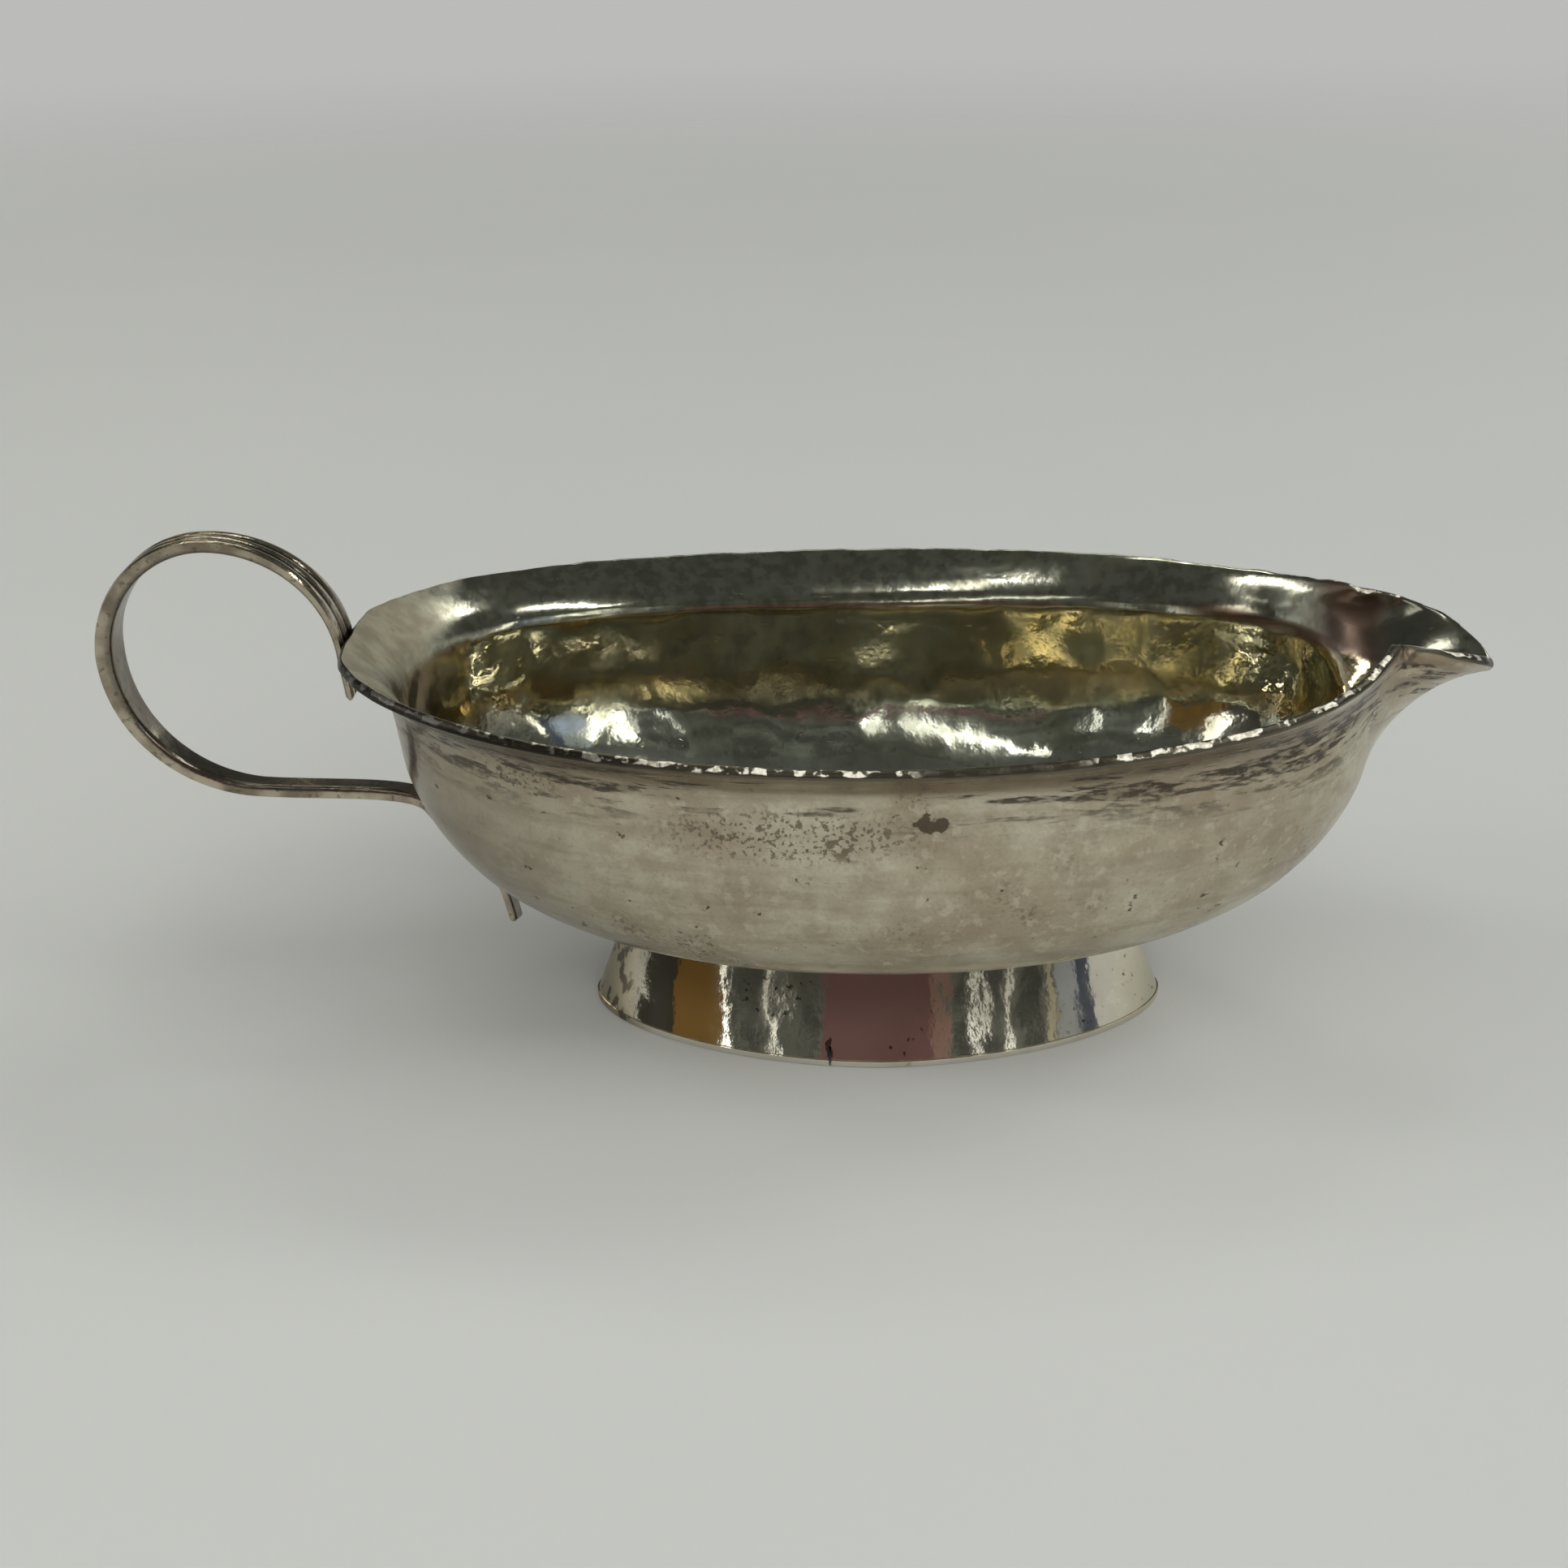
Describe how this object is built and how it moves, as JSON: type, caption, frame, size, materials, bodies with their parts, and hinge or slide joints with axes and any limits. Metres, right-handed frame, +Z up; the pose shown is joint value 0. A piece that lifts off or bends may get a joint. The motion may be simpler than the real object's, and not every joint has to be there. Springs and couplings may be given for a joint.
{
  "type": "pap boat",
  "caption": "Small oval silver boat for feeding and pouring, with a flared lip, a drawn beak, a reeded strap loop handle and a splayed oval band foot.",
  "frame": {"origin": "middle of the foot's base, on the surface that the boat stands on", "axes": "+X toward the beak, +Y across the bowl away from the side with the foot's seam, +Z up"},
  "size_m": [0.1536, 0.0728, 0.0563],
  "materials": {
    "bowl_silver": "worn hand-hammered silver, bright inside and satin outside with brown tarnish",
    "handle_silver": "dark tarnished silver strap",
    "foot_silver": "polished silver band",
    "solder": "dull silver solder"
  },
  "bodies": {
    "root": {"bowl": "bowl_silver", "handle": "handle_silver", "foot_band": "foot_silver", "foot_solder": "solder", "foot_seam": "solder", "rim_solder": "solder", "wall_solder": "solder"}
  },
  "joints": []
}
